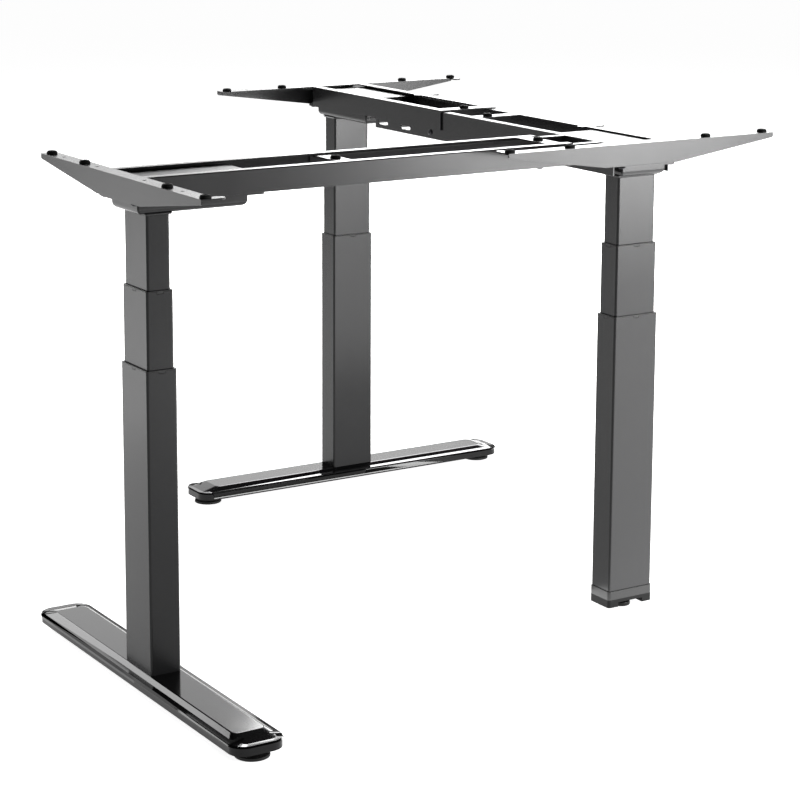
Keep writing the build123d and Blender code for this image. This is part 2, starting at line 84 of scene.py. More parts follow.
class DeskFrameFinishes(bpy.types.PropertyGroup):
    """Colours and surface grain of the frame's finishes."""

    steel: bpy.props.FloatVectorProperty(
        name="Steel coat", description="Powder coat on tubes, beams and arms",
        subtype="COLOR", default=(0.009, 0.009, 0.0094), min=0, max=1)
    foot: bpy.props.FloatVectorProperty(
        name="Foot coat", description="Smooth glossy coat on the feet",
        subtype="COLOR", default=(0.003, 0.003, 0.0032), min=0, max=1)
    plastic: bpy.props.FloatVectorProperty(
        name="Plastic", description="Glides, end cap and levellers",
        subtype="COLOR", default=(0.008, 0.008, 0.008), min=0, max=1)
    rubber: bpy.props.FloatVectorProperty(
        name="Rubber", description="Pads on the arms and the beams",
        subtype="COLOR", default=(0.005, 0.005, 0.005), min=0, max=1)
    coat_grain: bpy.props.FloatProperty(
        name="Coat grain", description="Size of the powder coat's fine grain",
        subtype="DISTANCE", unit="LENGTH", default=0.7 * MM)
    steel_gloss: bpy.props.FloatProperty(
        name="Coat roughness", description="Roughness of the powder coat",
        subtype="FACTOR", default=0.25, min=0, max=1)
    foot_gloss: bpy.props.FloatProperty(
        name="Foot roughness", description="Roughness of the feet's coat",
        subtype="FACTOR", default=0.10, min=0, max=1)


class DeskFrameSizes(bpy.types.PropertyGroup):
    """Sizes of the fittings and of the softened edges."""

    bend: bpy.props.FloatProperty(
        name="Sheet bend", description="Outer radius of a fold in the sheet steel",
        subtype="DISTANCE", unit="LENGTH", default=2.2 * MM)
    cut_edge: bpy.props.FloatProperty(
        name="Cut edge", description="Softening of a cut edge by its coat",
        subtype="DISTANCE", unit="LENGTH", default=0.35 * MM)
    foot_edge: bpy.props.FloatProperty(
        name="Foot edge", description="Rounding of the feet's shoulders",
        subtype="DISTANCE", unit="LENGTH", default=1.6 * MM)
    foot_side: bpy.props.FloatProperty(
        name="Foot side", description="Height of the feet's upright sides",
        subtype="DISTANCE", unit="LENGTH", default=12.5 * MM)
    foot_slope: bpy.props.FloatVectorProperty(
        name="Foot slope", description="Width of the sloping shoulders at a foot's sides and ends",
        subtype="XYZ", unit="LENGTH", size=2, default=(16 * MM, 38 * MM))
    foot_corners: bpy.props.FloatVectorProperty(
        name="Foot corners", description="Corner radii of a foot's sides and of its top",
        subtype="XYZ", unit="LENGTH", size=2, default=(24 * MM, 9 * MM))
    foot_wall: bpy.props.FloatProperty(
        name="Foot wall", description="Thickness of the pressed feet",
        subtype="DISTANCE", unit="LENGTH", default=3 * MM)
    bolt_head: bpy.props.FloatProperty(
        name="Bolt head", description="Height of a bolt's head",
        subtype="DISTANCE", unit="LENGTH", default=2.5 * MM)
    knurls: bpy.props.IntProperty(
        name="Knurls", description="Grip ridges round a foot's leveller", default=48, min=12)
    thread_pitch: bpy.props.FloatProperty(
        name="Thread pitch", description="Pitch of the lift screws",
        subtype="DISTANCE", unit="LENGTH", default=8 * MM)


class DeskFrameStage(bpy.types.PropertyGroup):
    """Camera, light panels, surroundings and floor."""

    camera_place: bpy.props.FloatVectorProperty(
        name="Camera place", description="Where the camera stands",
        subtype="TRANSLATION", unit="LENGTH", default=(-2.05565, -3.34421, 1.28872))
    camera_turn: bpy.props.FloatVectorProperty(
        name="Camera turn", description="Tilt, roll and heading of the camera",
        subtype="EULER", unit="ROTATION",
        default=(math.pi / 2 - 0.180148, -0.00473, -0.56018))
    lens: bpy.props.FloatProperty(
        name="Lens", description="Focal length in millimetres", default=104.657)
    rise: bpy.props.FloatProperty(
        name="Shift", description="Vertical shift of the lens", default=-0.18)
    sky: bpy.props.FloatVectorProperty(
        name="Surroundings", description="Brightness round the horizon, and overhead",
        size=2, default=(0.15, 0.06))
    floor_glow: bpy.props.FloatProperty(
        name="Floor glow", description="Light that the pale floor gives by itself", default=0.9)
    front: bpy.props.FloatProperty(
        name="Front panel", description="Power of the panel at the front right",
        unit="POWER", default=125)
    left: bpy.props.FloatProperty(
        name="Left panel", description="Power of the small panel on the left",
        unit="POWER", default=2.6)
    rear: bpy.props.FloatProperty(
        name="Rear panel", description="Power of the high panel behind", unit="POWER", default=50)
    low: bpy.props.FloatProperty(
        name="Low panel", description="Power of the panel that lies in front of the corner leg",
        unit="POWER", default=38)
    wash: bpy.props.FloatProperty(
        name="Floor wash",
        description="Power of the panel that lights the floor behind on the right",
        unit="POWER", default=210)
    backdrop: bpy.props.FloatProperty(
        name="Backdrop", description="Power of the wide panel behind", unit="POWER", default=31)
    floor: bpy.props.FloatProperty(
        name="Floor", description="Width of the floor",
        subtype="DISTANCE", unit="LENGTH", default=40)


# ---------------------------------------------------------------- shader maths


class Wire:
    """One output socket. Arithmetic on it adds Math nodes to its tree."""

    def __init__(self, tree, socket):
        self.tree = tree
        self.socket = socket

    def _join(self, operation, first, second):
        """Math node on two values, either of which may be a wire."""
        node = self.tree.nodes.new("ShaderNodeMath")
        node.operation = operation
        for place, value in enumerate((first, second)):
            if isinstance(value, Wire):
                self.tree.links.new(value.socket, node.inputs[place])
            else:
                node.inputs[place].default_value = value
        return Wire(self.tree, node.outputs[0])

    def __add__(self, other):
        return self._join("ADD", self, other)

    def __radd__(self, other):
        return self._join("ADD", other, self)

    def __sub__(self, other):
        return self._join("SUBTRACT", self, other)

    def __rsub__(self, other):
        return self._join("SUBTRACT", other, self)

    def __mul__(self, other):
        return self._join("MULTIPLY", self, other)

    def __rmul__(self, other):
        return self._join("MULTIPLY", other, self)


class Shading:
    """A node tree under construction, with the node that shades it."""

    def __init__(self, tree, shader, **constants):
        self.tree = tree
        self.shader = tree.nodes[shader]
        for socket, value in constants.items():
            self.shader.inputs[socket.replace("_", " ")].default_value = value

    def add(self, kind, settings=None, sockets=None, output=0):
        """A node of this kind, its settings first and then its sockets' values or links."""
        node = self.tree.nodes.new(kind)
        for name, value in (settings or {}).items():
            setattr(node, name, value)
        for name, value in (sockets or {}).items():
            if isinstance(value, Wire):
                self.tree.links.new(value.socket, node.inputs[name])
            else:
                node.inputs[name].default_value = value
        return Wire(self.tree, node.outputs[output])

    def feed(self, socket, wire):
        """Links a wire to a socket of the shader."""
        self.tree.links.new(wire.socket, self.shader.inputs[socket])


class Finish(Shading):
    """A material under construction, with its Principled shader."""

    octave_gain = 0.55      # how strongly each finer layer of a noise shows
    lift = 0.004            # paleness that even a black colour gains in its light patches

    def __init__(self, name, **constants):
        self.material = bpy.data.materials.new(name)
        self.material.use_nodes = True
        super().__init__(self.material.node_tree, "Principled BSDF", **constants)
        self.place = self.add("ShaderNodeTexCoord", output="Object")

    def noise(self, size, detail=2.0, stretch=(1, 1, 1)):
        """Noise with features of this size, in metres."""
        spot = self.add("ShaderNodeMapping", None, {"Vector": self.place, "Scale": stretch})
        return self.add(
            "ShaderNodeTexNoise", None,
            {"Vector": spot, "Scale": 1 / size, "Detail": detail, "Roughness": self.octave_gain})

    def tint(self, colour, share, mask):
        """Base colour that goes from a darker to a lighter tone along a mask."""
        light = [min(1.0, c * (1 + share) + share * self.lift) for c in colour]
        dark = [c * (1 - share) for c in colour]
        mixed = self.add(
            "ShaderNodeMix", {"data_type": "RGBA"},
            {"Factor": mask, 6: (*dark, 1), 7: (*light, 1)}, output=2)
        self.feed("Base Color", mixed)

    def bump(self, height, strength, depth):
        """Relief of this depth, in metres."""
        self.feed("Normal", self.add(
            "ShaderNodeBump", None, {"Strength": strength, "Distance": depth, "Height": height}))


COAT_IOR = 1.28
POLYMER_IOR = 1.3
METAL_IOR = 1.5
WAVE_PERIOD = math.pi / 10      # metres from band to band in a wave texture of scale 1


def coated_steel(name, colour, gloss, grain, relief):
    """Powder coat: a fine grain over a slow ripple, with faint handling marks in its gloss."""
    coat = Finish(name, IOR=COAT_IOR)
    fine = coat.noise(size=grain, detail=1.0)
    ripple = coat.noise(size=grain * 7, detail=1.0)
    marks = coat.noise(size=110 * MM, detail=3.0)
    coat.tint(colour, share=0.18, mask=marks * 0.7 + fine * 0.3)
    coat.feed("Roughness", gloss - 0.05 + marks * 0.07 + fine * 0.03)
    coat.bump(fine * 0.6 + ripple * 0.4, strength=relief, depth=0.12 * MM)
    return coat.material


def glossy_foot(name, colour, gloss):
    """Smooth gloss coat with a slight orange peel and a thin haze of dust."""
    coat = Finish(name, IOR=COAT_IOR)
    peel = coat.noise(size=3 * MM, detail=1.0)
    dust = coat.noise(size=50 * MM, detail=4.0)
    coat.tint(colour, share=0.3, mask=dust)
    coat.feed("Roughness", gloss - 0.03 + dust * 0.08)
    coat.bump(peel, strength=0.06, depth=0.1 * MM)
    return coat.material


def moulded_plastic(name, colour, gloss):
    """Spark-eroded mould grain with slow changes of gloss."""
    body = Finish(name, IOR=POLYMER_IOR)
    grain = body.add(
        "ShaderNodeTexVoronoi", {"feature": "SMOOTH_F1"},
        {"Vector": body.place, "Scale": 1 / (0.5 * MM), "Smoothness": 0.6})
    cloud = body.noise(size=20 * MM)
    body.tint(colour, share=0.2, mask=cloud)
    body.feed("Roughness", gloss + cloud * 0.12)
    body.bump(grain, strength=0.25, depth=0.06 * MM)
    return body.material


def soft_rubber(name, colour):
    """Matt rubber with a fine pebbled skin and a pale bloom."""
    skin = Finish(name, IOR=POLYMER_IOR, Specular_IOR_Level=0.3)
    pebble = skin.noise(size=0.35 * MM)
    bloom = skin.noise(size=4 * MM, detail=3.0)
    skin.tint(colour, share=0.35, mask=bloom)
    skin.feed("Roughness", 0.62 + bloom * 0.2)
    skin.bump(pebble, strength=0.35, depth=0.08 * MM)
    return skin.material


def threaded_steel(name, pitch):
    """Ground steel screw: turned ridges along its length and oil in patches."""
    metal = Finish(name, IOR=METAL_IOR, Metallic=1.0)
    ridges = metal.add(
        "ShaderNodeTexWave", {"wave_type": "BANDS", "bands_direction": "Z", "wave_profile": "SIN"},
        {"Vector": metal.place, "Scale": WAVE_PERIOD / pitch, "Distortion": 0.0})
    oil = metal.noise(size=30 * MM, detail=3.0, stretch=(1, 1, 0.3))
    metal.tint((0.42, 0.42, 0.43), share=0.25, mask=ridges * 0.6 + oil * 0.4)
    metal.feed("Roughness", 0.24 + oil * 0.2)
    metal.bump(ridges, strength=0.8, depth=1.2 * MM)
    return metal.material


def plated_steel(name, colour, gloss):
    """Zinc or oxide on steel: small crystals and drawn marks along the piece."""
    metal = Finish(name, IOR=METAL_IOR, Metallic=1.0)
    crystal = metal.add(
        "ShaderNodeTexVoronoi", None, {"Vector": metal.place, "Scale": 1 / (2.2 * MM)})
    drawn = metal.noise(size=0.5 * MM, stretch=(1, 1, 0.05))
    metal.tint(colour, share=0.2, mask=crystal * 0.5 + drawn * 0.5)
    metal.feed("Roughness", gloss + drawn * 0.15)
    metal.bump(drawn, strength=0.15, depth=0.05 * MM)
    return metal.material


def cast_metal(name, colour):
    """Die-cast housing: a pitted skin that is darker in its hollows."""
    metal = Finish(name, IOR=METAL_IOR, Metallic=0.85)
    pits = metal.noise(size=0.9 * MM, detail=3.0)
    cloud = metal.noise(size=30 * MM)
    metal.tint(colour, share=0.22, mask=pits * 0.5 + cloud * 0.5)
    metal.feed("Roughness", 0.42 + pits * 0.2)
    metal.bump(pits, strength=0.4, depth=0.12 * MM)
    return metal.material


def pale_floor(name, glow):
    """Pale floor that glows a little, with a barely visible change of tone."""
    floor = Finish(
        name, IOR=1.4, Roughness=0.8, Specular_IOR_Level=0.1,
        Emission_Color=(1, 1, 1, 1), Emission_Strength=glow)
    floor.tint((0.86, 0.86, 0.86), share=0.01, mask=floor.noise(size=0.7))
    return floor.material


def pale_surroundings(name, horizon, overhead):
    """Surroundings that are brighter round the horizon than overhead."""
    world = bpy.data.worlds.new(name)
    world.use_nodes = True
    sky = Shading(world.node_tree, "Background", Color=(1, 1, 1, 1))
    direction = sky.add("ShaderNodeTexCoord", output="Generated")
    height = sky.add("ShaderNodeSeparateXYZ", None, {"Vector": direction}, output="Z")
    sky.feed("Strength", sky.add(
        "ShaderNodeMapRange", {"interpolation_type": "SMOOTHSTEP"},
        {"Value": height, "From Min": 0.34, "From Max": 0.85,
         "To Min": horizon, "To Max": overhead}))
    return world


def finish(name):
    """The finish of this name, made once."""
    made = bpy.data.materials.get(name)
    if made is not None:
        return made
    look = bpy.context.scene.desk_frame_finishes
    pitch = bpy.context.scene.desk_frame_sizes.thread_pitch
    satin = look.steel_gloss
    matt = look.steel_gloss + 0.13
    makers = {
        "Satin black coat": lambda: coated_steel(
            name, look.steel, satin, look.coat_grain, relief=0.22),
        "Matt black coat": lambda: coated_steel(
            name, look.steel, matt, look.coat_grain, relief=0.3),
        "Gloss black coat": lambda: glossy_foot(name, look.foot, look.foot_gloss),
        "Black plastic": lambda: moulded_plastic(name, look.plastic, gloss=0.3),
        "Black rubber": lambda: soft_rubber(name, look.rubber),
        "Lift screw steel": lambda: threaded_steel(name, pitch),
        "Zinc plate": lambda: plated_steel(name, (0.52, 0.52, 0.54), gloss=0.28),
        "Black oxide": lambda: plated_steel(name, (0.035, 0.035, 0.038), gloss=0.32),
        "Cast motor housing": lambda: cast_metal(name, (0.33, 0.33, 0.34)),
        "Pale floor": lambda: pale_floor(name, bpy.context.scene.desk_frame_stage.floor_glow),
    }
    return makers[name]()


# ---------------------------------------------------------------- mesh helpers


def settle(name, mesh, body, coat, nodes=()):
    """Turns a bmesh into a piece with smooth shading that rides on a body."""
    look, slot = coat
    data = bpy.data.meshes.new(name)
    mesh.to_mesh(data)
    mesh.free()
    data.shade_smooth()
    piece = bpy.data.objects.new(name, data)
    bpy.context.scene.collection.objects.link(piece)
    data.materials.append(finish(look))
    weigh = piece.modifiers.new("Even shading", "WEIGHTED_NORMAL")
    weigh.keep_sharp = True
    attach(piece, body)
    if nodes:
        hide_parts(*nodes)
    return piece


def keep_hard(mesh, angle=50):
    """Marks the edges that stay crisp."""
    limit = math.radians(angle)
    for edge in mesh.edges:
        if len(edge.link_faces) == 2 and edge.calc_face_angle(0) > limit:
            edge.smooth = False


def bevel(mesh, edges, width, segments=2):
    """Rounds edges, and stops short where two roundings would meet."""
    bmesh.ops.bevel(
        mesh, geom=edges, offset=width, offset_type="OFFSET", segments=segments, profile=0.5,
        affect="EDGES", clamp_overlap=True, material=-1)


def narrowness(face):
    """How narrow a face is: its area over half its outline."""
    least = 1e-9
    return 2 * face.calc_area() / max(face.calc_perimeter(), least)


def cad_copy(node):
    """Welded copy of a CAD node's mesh, with its flat faces joined up."""
    mesh = bmesh.new()
    mesh.from_mesh(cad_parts[node].data)
    bmesh.ops.remove_doubles(mesh, verts=mesh.verts, dist=SAME_SPOT)
    bmesh.ops.dissolve_limit(
        mesh, angle_limit=NO_TURN, use_dissolve_boundaries=False,
        verts=mesh.verts, edges=mesh.edges)
    return mesh


def soften(node, coat, body, folded=False, cut=None):
    """Piece with a CAD node's shape whose edges are rounded, and whose folds are bent.

    A fold is a convex edge that is long, between two faces wider than the sheet is thick.
    """
    sheet = 4 * MM
    shortest = 8 * MM
    sizes = bpy.context.scene.desk_frame_sizes
    cut = cut or sizes.cut_edge
    mesh = cad_copy(node)
    weight = mesh.edges.layers.float.new("bevel_weight_edge")
    sharp = [
        e for e in mesh.edges
        if len(e.link_faces) == 2 and e.calc_face_angle(0) > CRISP]
    if not folded:
        bevel(mesh, sharp, cut)
        keep_hard(mesh)
        return settle(node + "_finished", mesh, body, coat, [node])
    folds = [
        e for e in sharp
        if min(narrowness(f) for f in e.link_faces) > sheet and e.calc_length() > shortest
        and e.is_convex]
    for edge in sharp:
        edge[weight] = cut / sizes.bend
    for edge in folds:
        edge[weight] = 1.0
    keep_hard(mesh, 80)
    piece = settle(node + "_finished", mesh, body, coat, [node])
    rounding = piece.modifiers.new("Folds", "BEVEL")
    rounding.limit_method = "WEIGHT"
    rounding.width = sizes.bend
    rounding.segments = 3
    rounding.profile = 0.5
    rounding.use_clamp_overlap = True
    piece.modifiers.move(len(piece.modifiers) - 1, 0)
    return piece


def repaint(node, coat):
    """Gives a kept CAD node a finished material."""
    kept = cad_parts[node]
    for place in kept.material_slots:
        place.material = finish(coat)
    if not kept.material_slots:
        kept.data.materials.append(finish(coat))


def solids_of(node):
    """Lowest and highest corner of each separate solid of a CAD node."""
    mesh = cad_copy(node)
    left = set(mesh.verts)
    found = []
    while left:
        stack = [left.pop()]
        group = [stack[0]]
        while stack:
            for edge in stack.pop().link_edges:
                for vert in edge.verts:
                    if vert in left:
                        left.remove(vert)
                        stack.append(vert)
                        group.append(vert)
        low = Vector(min(v.co[i] for v in group) for i in range(3))
        high = Vector(max(v.co[i] for v in group) for i in range(3))
        found.append((low, high))
    mesh.free()
    return sorted(found, key=lambda pair: tuple(pair[0]))


def revolve(mesh, profile, steps):
    """Turns an outline of (radius, height) points round the Z axis. Returns the new vertices."""
    row = [mesh.verts.new((radius, 0, height)) for radius, height in profile]
    edges = [mesh.edges.new(pair) for pair in zip(row, row[1:])]
    before = set(mesh.verts) - set(row)
    bmesh.ops.spin(
        mesh, geom=row + edges, cent=(0, 0, 0), axis=(0, 0, 1), angle=2 * math.pi,
        steps=steps, use_merge=True)
    made = [v for v in mesh.verts if v not in before]
    bmesh.ops.remove_doubles(mesh, verts=made, dist=SAME_SPOT)
    return [v for v in mesh.verts if v not in before]


def place(mesh, verts, matrix):
    """Moves vertices by a matrix."""
    bmesh.ops.transform(mesh, matrix=matrix, verts=verts)


def outwards(mesh):
    """Makes every face look outwards."""
    bmesh.ops.recalc_face_normals(mesh, faces=mesh.faces)


# ---------------------------------------------------------------- pieces


def leg_centre(leg):
    """Middle of a leg's outer tube, on the leg's axis."""
    low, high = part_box("outer_tube_" + leg)
    return (low + high) / 2


ROUND_STEPS = 36

# A pad's side, from its waist to its top: the distance in from its rim and the share of its height.
PAD_DOME = ((0, 0.45), (0.7 * MM, 0.55), (0.9 * MM, 0.72), (1.8 * MM, 0.94), (3.2 * MM, 1))


def add_pads(leg):
    """Domed rubber pads with a dimple, one on each spot of the CAD node."""
    mesh = bmesh.new()
    for low, high in solids_of("pads_" + leg):
        radius = (high.x - low.x) / 2
        height = high.z - low.z
        dimple = radius * 0.42
        dimple_floor = height - 1.0 * MM
        profile = [(0, 0), (radius - 0.4 * MM, 0), (radius, 0.5 * MM)]
        profile += [(radius - inset, height * share) for inset, share in PAD_DOME]
        profile += [
            (dimple, height), (radius * 0.34, dimple_floor + 0.1 * MM), (0, dimple_floor)]
        verts = revolve(mesh, profile, ROUND_STEPS)
        middle = (low + high) / 2
        place(mesh, verts, Matrix.Translation((middle.x, middle.y, low.z)))
    outwards(mesh)
    keep_hard(mesh, 60)
    settle(f"pads_{leg}_domed", mesh, HEADS[leg], RUBBER, ["pads_" + leg])


def add_bolt(mesh, low, high):
    """Button-head bolt with a hexagon socket, filling the box of one CAD bolt."""
    size = high - low
    sideways = size.x < size.z
    length = size.x if sideways else size.z
    radius = size.y / 2
    head = bpy.context.scene.desk_frame_sizes.bolt_head
    shank = radius * 0.55
    hexagon = radius * 0.42
    socket_depth = head * 0.65
    bolt = revolve(mesh, [
        (0, length), (shank - 0.4 * MM, length), (shank, length - 0.5 * MM), (shank, head),
        (radius - 0.3 * MM, head), (radius, head - 0.4 * MM), (radius, head * 0.5),
        (radius - 0.6 * MM, head * 0.16), (radius - 1.4 * MM, 0)], ROUND_STEPS)
    rim = [e for e in mesh.edges if e.is_boundary and all(v in set(bolt) for v in e.verts)]
    ring = bmesh.ops.create_circle(mesh, segments=6, radius=hexagon)["verts"]
    hexagon_edges = list({e for v in ring for e in v.link_edges})
    bmesh.ops.bridge_loops(mesh, edges=rim + hexagon_edges)
    deep = bmesh.ops.extrude_edge_only(mesh, edges=hexagon_edges)["geom"]
    bottom = [v for v in deep if isinstance(v, bmesh.types.BMVert)]
    bmesh.ops.translate(mesh, verts=bottom, vec=(0, 0, socket_depth))
    floor = [
        e for e in deep
        if isinstance(e, bmesh.types.BMEdge) and all(v in bottom for v in e.verts)]
    bmesh.ops.contextual_create(mesh, geom=floor)
    whole = bolt + list(ring) + bottom
    turn = Matrix.Rotation(math.pi / 2, 4, "Y") if sideways else Matrix.Identity(4)
    middle = (low + high) / 2
    start = (low.x, middle.y, middle.z) if sideways else (middle.x, middle.y, low.z)
    place(mesh, whole, Matrix.Translation(start) @ turn)


def add_bolts(leg):
    """Bolts of a leg's arm and of the beam's lock beside it, one on each solid of the CAD node."""
    mesh = bmesh.new()
    for low, high in solids_of("bolts_" + leg):
        add_bolt(mesh, low, high)
    outwards(mesh)
    keep_hard(mesh, 40)
    settle(f"bolts_{leg}_socket_head", mesh, HEADS[leg], OXIDE, ["bolts_" + leg])


def outline(mesh, width, length, corner, height):
    """Flat rounded rectangle at a height, as one face."""
    before = set(mesh.verts)
    bmesh.ops.create_grid(mesh, x_segments=1, y_segments=1, size=0.5)
    verts = [v for v in mesh.verts if v not in before]
    bmesh.ops.scale(mesh, vec=(width, length, 1), verts=verts)
    bmesh.ops.translate(mesh, vec=(0, 0, height), verts=verts)
    bmesh.ops.bevel(
        mesh, geom=verts, offset=corner, offset_type="OFFSET", segments=8, profile=0.5,
        affect="VERTICES", clamp_overlap=True, material=-1)
    return next(
        f for f in mesh.faces
        if not before.intersection(f.verts) and abs(f.verts[0].co.z - height) < SAME_SPOT)


def add_foot(leg):
    """Pressed foot: bevelled shoulders, rounded ends, an open underside with threaded bosses."""
    low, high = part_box("foot_" + leg)
    sizes = bpy.context.scene.desk_frame_sizes
    span = high - low
    width = min(span.x, span.y)
    length = max(span.x, span.y)
    shoulder = low.z + sizes.foot_side
    mesh = bmesh.new()
    crown = outline(
        mesh, width - 2 * sizes.foot_slope[0], length - 2 * sizes.foot_slope[1],
        sizes.foot_corners[1], high.z)
    rim = outline(mesh, width, length, sizes.foot_corners[0], shoulder)
    bmesh.ops.bridge_loops(mesh, edges=list(crown.edges) + list(rim.edges))
    lower = outline(mesh, width, length, sizes.foot_corners[0], low.z)
    bmesh.ops.bridge_loops(mesh, edges=list(rim.edges) + list(lower.edges))
    bmesh.ops.delete(mesh, geom=[rim, lower], context="FACES_ONLY")
    creases = [
        e for e in mesh.edges
        if len(e.link_faces) == 2 and all(v.co.z > shoulder - SAME_SPOT for v in e.verts)
        and abs(e.verts[0].co.z - e.verts[1].co.z) < SAME_SPOT]
    bevel(mesh, creases, sizes.foot_edge, segments=3)
    outwards(mesh)
    bmesh.ops.solidify(mesh, geom=list(mesh.faces), thickness=sizes.foot_wall)
    boss_top = low.z + 17 * MM
    boss_radius = 10 * MM
    bore_radius = 4.4 * MM
    boss_spot = length / 2 - 31.5 * MM
    for end in (-1, 1):
        boss = revolve(mesh, [
            (boss_radius, low.z), (boss_radius, boss_top), (bore_radius, boss_top),
            (bore_radius, low.z), (boss_radius, low.z)], 32)
        bmesh.ops.translate(mesh, verts=boss, vec=(0, end * boss_spot, 0))
    turn = Matrix.Rotation(math.pi / 2, 4, "Z") if span.x > span.y else Matrix.Identity(4)
    middle = Vector(((low.x + high.x) / 2, (low.y + high.y) / 2, 0))
    place(mesh, mesh.verts, Matrix.Translation(middle) @ turn)
    keep_hard(mesh, 60)
    settle(f"foot_{leg}_pressed", mesh, f"leg_{leg}_base", GLOSS, ["foot_" + leg])


def add_foot_fixings(leg):
    """Four socket-head bolts that hold the column, seen from under the foot."""
    centre = leg_centre(leg)
    low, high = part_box("outer_tube_" + leg)
    inset = 13 * MM
    reach_x = (high.x - low.x) / 2 - inset
    reach_y = (high.y - low.y) / 2 - inset
    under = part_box("foot_" + leg)[1].z - bpy.context.scene.desk_frame_sizes.foot_wall
    below = Vector((5 * MM, 5 * MM, 4 * MM))
    above = Vector((5 * MM, 5 * MM, 0.6 * MM))
    mesh = bmesh.new()
    for x in (-reach_x, reach_x):
        for y in (-reach_y, reach_y):
            spot = Vector((centre.x + x, centre.y + y, under))
            add_bolt(mesh, spot - below, spot + above)
    outwards(mesh)
    keep_hard(mesh, 40)
    settle(f"foot_bolts_{leg}", mesh, f"leg_{leg}_base", ZINC)


WIDE_DISC = 5 * MM          # thickness of a foot leveller's disc
SMALL_DISC = 7 * MM         # thickness of the corner leveller's disc
KNURL_SHARE = 0.965         # radius of a knurl's hollow over the disc's radius
NECK_RADIUS = 6.5 * MM
CREST_RADIUS = 4.0 * MM
ROOT_RADIUS = 3.5 * MM
STEM_PITCH = 1.25 * MM


def add_leveller(node, body, knurls):
    """Leveller with a knurled rim, a domed sole and a threaded stem."""
    low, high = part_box(node)
    middle = (low + high) / 2
    radius = (high.x - low.x) / 2
    thick = WIDE_DISC if radius > 20 * MM else SMALL_DISC
    mesh = bmesh.new()
    sole = 0.6 * MM
    groove = thick - 0.5 * MM
    disc = revolve(mesh, [
        (0, sole), (radius - 7 * MM, sole), (radius - 6 * MM, 0), (radius - 1.4 * MM, 0),
        (radius - 0.4 * MM, 0.5 * MM), (radius, 1.2 * MM), (radius, thick - 1.2 * MM),
        (radius - 0.6 * MM, thick - 0.4 * MM), (radius - 1.6 * MM, thick),
        (radius * 0.55, thick), (radius * 0.5, groove), (radius * 0.3, groove),
        (NECK_RADIUS, thick)], knurls * 2)
    band = 2 * math.pi / knurls
    hollows = [
        v for v in disc if Vector((v.co.x, v.co.y)).length > radius - 0.05 * MM
        and round(math.atan2(v.co.y, v.co.x) / band * 2) % 2]
    bmesh.ops.scale(mesh, vec=(KNURL_SHARE, KNURL_SHARE, 1), verts=hollows)
    top = high.z - low.z
    chamfer = 0.8 * MM
    stem = [(NECK_RADIUS, thick), (4.3 * MM, thick + 0.2 * MM)]
    height = thick + 0.6 * MM
    while height < top - 1.2 * MM:
        stem += [(CREST_RADIUS, height), (ROOT_RADIUS, height + STEM_PITCH / 2)]
        height += STEM_PITCH
    stem += [(3.9 * MM, top - chamfer), (3.2 * MM, top), (0, top)]
    revolve(mesh, stem, 24)
    bmesh.ops.translate(mesh, verts=mesh.verts, vec=(middle.x, middle.y, low.z))
    outwards(mesh)
    keep_hard(mesh, 45)
    settle(node + "_knurled", mesh, body, PLASTIC, [node])


BEAD_RADIUS = 1.6 * MM
BEAD_STEP = 1.3 * MM
BEAD_ALONG = 0.75           # share of its radius that a ripple keeps along the seam
BEAD_ACROSS = 0.9
BEAD_HEIGHT = 0.8


def add_weld(leg):
    """Weld bead between the inner tube and the tray's collar: overlapping ripples."""
    low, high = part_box("inner_tube_" + leg)
    tray_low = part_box("motor_tray_" + leg)[0].z
    corner = 3 * MM
    left, right = low.x + corner, high.x - corner
    near, far = low.y + corner, high.y - corner
    sides = (
        (left, low.y, right, low.y), (left, high.y, right, high.y),
        (low.x, near, low.x, far), (high.x, near, high.x, far))
    mesh = bmesh.new()
    for x0, y0, x1, y1 in sides:
        start = Vector((x0, y0, tray_low))
        end = Vector((x1, y1, tray_low))
        squash = (BEAD_ALONG, BEAD_ACROSS, BEAD_HEIGHT)
        if x0 == x1:
            squash = (BEAD_ACROSS, BEAD_ALONG, BEAD_HEIGHT)
        count = int((end - start).length / BEAD_STEP)
        for step in range(count + 1):
            blob = bmesh.ops.create_icosphere(mesh, subdivisions=1, radius=BEAD_RADIUS)["verts"]
            bmesh.ops.scale(mesh, vec=squash, verts=blob)
            bmesh.ops.translate(mesh, vec=start.lerp(end, step / count), verts=blob)
    settle(f"tray_weld_{leg}", mesh, HEADS[leg], SATIN)


# Directions of each motor, and of its far side, as seen from its leg.
MOTOR_ALONG = {"a": Vector((1, 0, 0)), "b": Vector((0, -1, 0)), "c": Vector((0, 1, 0))}
MOTOR_ACROSS = {"a": Vector((0, 1, 0)), "b": Vector((1, 0, 0)), "c": Vector((-1, 0, 0))}
INLET_ALONG = 141.2 * MM
INLET_ACROSS = 24 * MM
INLET_HEIGHT = 776 * MM
INLET_SQUASH = 0.62         # the inlet is lower than it is wide

# Outline of the grommet round the lead: radius and place along the lead.
GROMMET = (
    (4.6 * MM, -1.6 * MM), (6.6 * MM, -1.6 * MM), (7.0 * MM, -1.1 * MM), (7.0 * MM, 1.4 * MM),
    (6.4 * MM, 2.0 * MM), (5.0 * MM, 2.0 * MM), (4.4 * MM, 1.5 * MM), (4.6 * MM, -1.6 * MM))


